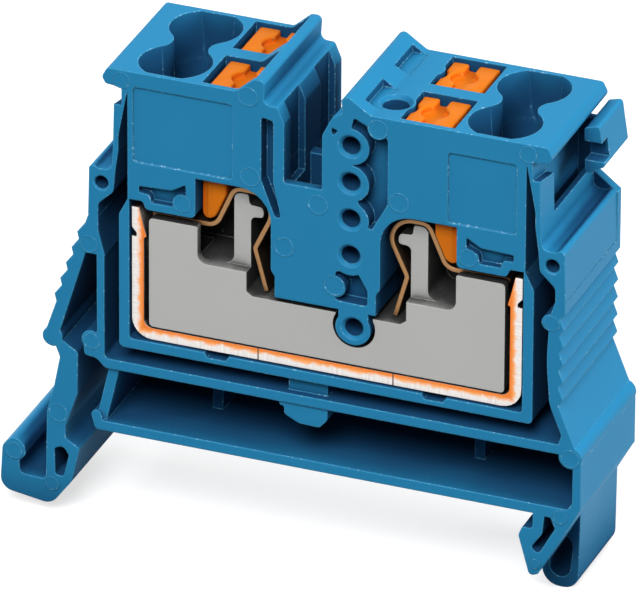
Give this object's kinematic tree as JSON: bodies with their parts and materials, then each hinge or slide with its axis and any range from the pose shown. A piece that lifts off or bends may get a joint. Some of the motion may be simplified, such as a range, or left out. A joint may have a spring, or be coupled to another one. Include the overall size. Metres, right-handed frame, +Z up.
{
  "type": "terminal block",
  "caption": "Feed-through terminal block for a 35 mm rail: moulded housing open on one face, sprung push-in clamps with orange release buttons, and a U-shaped current bar.",
  "frame": {"origin": "middle of the rail seat: on the rail's top, in the rail's middle plane, halfway through the block along the rail", "axes": "+X across the rail towards the hook with the lug, +Y along the rail towards the closed side, +Z up, away from the rail"},
  "size_m": [0.0435, 0.011, 0.0372],
  "materials": {
    "housing_plastic": "satin moulded polyamide, blue",
    "carrier_plastic": "satin moulded polyamide, light grey",
    "tinned_copper": "tinned copper strip with bare stamped edges",
    "spring_strip": "rolled spring strip, bronze coloured",
    "button_plastic": "satin moulded polyamide, orange"
  },
  "bodies": {
    "housing_body": {"housing": "housing_plastic", "spring_carrier": "carrier_plastic", "current_bar": "tinned_copper", "clamp_spring_left_front": "spring_strip", "clamp_spring_left_rear": "spring_strip", "clamp_spring_right_front": "spring_strip", "clamp_spring_right_rear": "spring_strip"},
    "button_left_front_body": {"button_left_front": "button_plastic"},
    "button_left_rear_body": {"button_left_rear": "button_plastic"},
    "button_right_front_body": {"button_right_front": "button_plastic"},
    "button_right_rear_body": {"button_right_rear": "button_plastic"}
  },
  "joints": [
    {"name": "press_left_front", "type": "slide", "parent": "housing_body", "child": "button_left_front_body", "axis": [0, 0, -1], "range_m": [0, 0.0015], "stiffness_N_per_m": 4000, "deforming": ["clamp_spring_left_front"]},
    {"name": "press_left_rear", "type": "slide", "parent": "housing_body", "child": "button_left_rear_body", "axis": [0, 0, -1], "range_m": [0, 0.0015], "stiffness_N_per_m": 4000, "deforming": ["clamp_spring_left_rear"]},
    {"name": "press_right_front", "type": "slide", "parent": "housing_body", "child": "button_right_front_body", "axis": [0, 0, -1], "range_m": [0, 0.0015], "stiffness_N_per_m": 4000, "deforming": ["clamp_spring_right_front"]},
    {"name": "press_right_rear", "type": "slide", "parent": "housing_body", "child": "button_right_rear_body", "axis": [0, 0, -1], "range_m": [0, 0.0015], "stiffness_N_per_m": 4000, "deforming": ["clamp_spring_right_rear"]}
  ]
}
